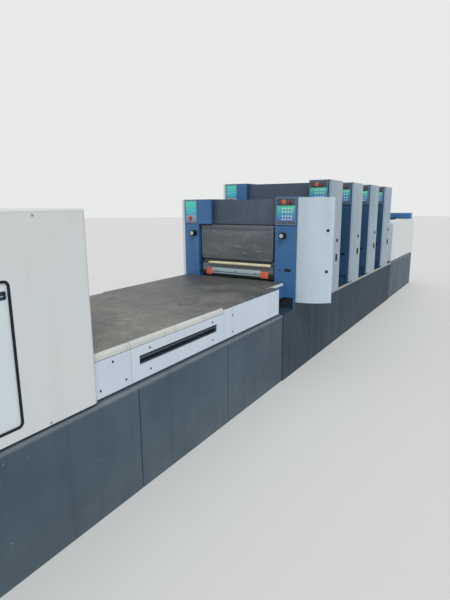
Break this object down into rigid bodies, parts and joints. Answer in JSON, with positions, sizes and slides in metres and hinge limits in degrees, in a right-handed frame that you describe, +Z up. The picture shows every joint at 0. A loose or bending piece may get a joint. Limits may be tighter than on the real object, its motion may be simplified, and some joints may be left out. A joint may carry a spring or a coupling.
{
  "type": "sheet-fed offset printing press",
  "caption": "Long sheet-fed offset press: covered delivery, low walk-over platform, a row of blue and white printing units with hinged side doors, and feeder.",
  "frame": {"origin": "on the floor under the middle of the press's length, on its centre line", "axes": "+X from the delivery to the feeder, +Y to the drive side, +Z up"},
  "size_m": [10.23, 1.5736, 1.83],
  "materials": {
    "dark_base": "dark blue-grey enamel on sheet steel, scuffed",
    "step_metal": "mill-finish aluminium edge",
    "white_cover": "off-white enamel on sheet steel",
    "pale_panel": "pale grey-green enamel in a rubber profile",
    "pile_board": "worn plywood pile board on steel lugs",
    "machined_steel": "ground and oiled steel",
    "dark_frame": "dark grey paint",
    "tread_plate": "grey-brown anti-slip covering, worn",
    "cream_nosing": "cream enamel edge strip",
    "slate_hood": "slate grey enamel",
    "black_cap": "moulded black plastic",
    "key_panel": "printed key foil in a grey frame",
    "yellow_rod": "pale yellow paint on steel tube",
    "guard_clear": "clear plastic sheet, dusty and scratched",
    "blue_housing": "mid blue enamel on cast and sheet steel"
  },
  "bodies": {
    "frame": {"base_delivery": "dark_base", "base_platform": "dark_base", "base_units": "dark_base", "base_feeder": "dark_base", "step_edges": "step_metal", "delivery_side_near": "white_cover", "delivery_side_far": "white_cover", "delivery_hood": "white_cover", "delivery_inner_wall": "white_cover", "delivery_side_panel": "pale_panel", "delivery_pile_board": "pile_board", "delivery_gripper_chains": "machined_steel", "platform_deck": "dark_frame", "platform_tread": "tread_plate", "platform_nosing": "cream_nosing", "platform_covers": "white_cover", "footboards": "tread_plate", "unit_hoods": "slate_hood", "column_knobs": "black_cap", "control_panels": "key_panel", "drive_covers": "white_cover", "nip_guards": "yellow_rod", "unit_guards": "guard_clear", "feeder_side_near": "white_cover", "feeder_side_far": "white_cover", "feed_table": "machined_steel", "feeder_head": "slate_hood", "feeder_pile_board": "pile_board", "feeder_bridge": "blue_housing", "unit_1_housing": "blue_housing", "unit_1_cylinders": "machined_steel", "unit_2_housing": "blue_housing", "unit_2_cylinders": "machined_steel", "unit_3_housing": "blue_housing", "unit_3_cylinders": "machined_steel", "unit_4_housing": "blue_housing", "unit_4_cylinders": "machined_steel", "unit_5_housing": "blue_housing", "unit_5_cylinders": "machined_steel"},
    "door_1": {"unit_1_door": "white_cover"},
    "door_2": {"unit_2_door": "white_cover"},
    "door_3": {"unit_3_door": "white_cover"},
    "door_4": {"unit_4_door": "white_cover"},
    "door_5": {"unit_5_door": "white_cover"},
    "guard": {"first_guard": "guard_clear"}
  },
  "joints": [
    {"name": "door_1_hinge", "type": "hinge", "parent": "frame", "child": "door_1", "pos_m": [-0.816, -0.632, 1.2], "axis": [0, 0, -1], "range_deg": [-64, 36]},
    {"name": "door_2_hinge", "type": "hinge", "parent": "frame", "child": "door_2", "pos_m": [-0.011, -0.632, 1.2], "axis": [0, 0, -1], "range_deg": [0, 100]},
    {"name": "door_3_hinge", "type": "hinge", "parent": "frame", "child": "door_3", "pos_m": [0.794, -0.632, 1.2], "axis": [0, 0, -1], "range_deg": [0, 100]},
    {"name": "door_4_hinge", "type": "hinge", "parent": "frame", "child": "door_4", "pos_m": [1.599, -0.632, 1.2], "axis": [0, 0, -1], "range_deg": [0, 100]},
    {"name": "door_5_hinge", "type": "hinge", "parent": "frame", "child": "door_5", "pos_m": [2.404, -0.632, 1.2], "axis": [0, 0, -1], "range_deg": [0, 100]},
    {"name": "guard_hinge", "type": "hinge", "parent": "frame", "child": "guard", "pos_m": [-0.795, 0.021, 1.379], "axis": [0, 1, 0], "range_deg": [0, 80]}
  ]
}
